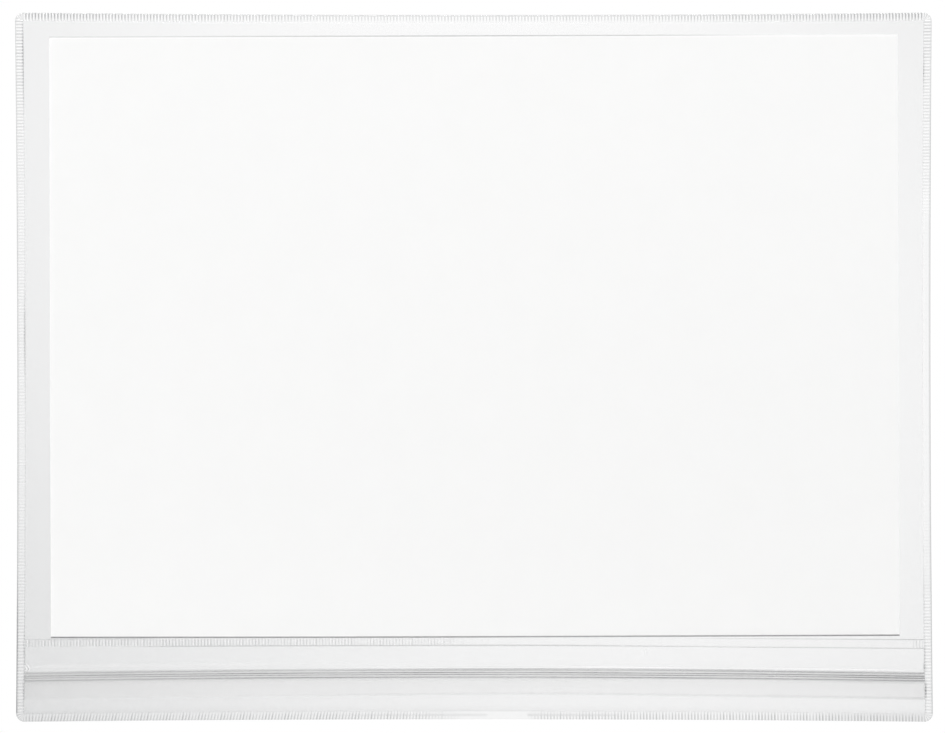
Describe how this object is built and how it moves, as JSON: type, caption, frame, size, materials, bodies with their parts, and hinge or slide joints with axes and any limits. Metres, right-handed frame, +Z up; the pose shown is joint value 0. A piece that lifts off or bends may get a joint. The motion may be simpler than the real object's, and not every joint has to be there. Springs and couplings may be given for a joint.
{
  "type": "waterproof poster pocket",
  "caption": "Flat clear pocket with a welded ribbed rim and a press-lock zip along its lower edge, holding a blank white sheet on its side.",
  "frame": {"origin": "centre of the back face", "axes": "+X along the long edges to the right, +Z up to the top edge, +Y out of the back; the front and the zip's lip face -Y"},
  "size_m": [0.321, 0.0023, 0.2482],
  "materials": {
    "clear_film": "clear soft PVC film, gloss",
    "zip_pvc": "clear extruded soft PVC, slightly milky",
    "paper": "matt white paper"
  },
  "bodies": {
    "pocket": {"back_sheet": "clear_film", "front_sheet": "clear_film", "zip_lower_rail": "zip_pvc"},
    "zip_flap": {"zip_upper_rail": "zip_pvc"},
    "sheet": {"poster_sheet": "paper"}
  },
  "joints": [
    {"name": "zip_flap_open", "type": "hinge", "parent": "pocket", "child": "zip_flap", "pos_m": [0, -0.0009, -0.0948], "axis": [-1, 0, 0], "range_deg": [0, 50], "stiffness_Nm_per_rad": 0.002},
    {"name": "sheet_slide", "type": "slide", "parent": "pocket", "child": "sheet", "axis": [0, 0, 1], "range_m": [0, 0.0025]}
  ]
}
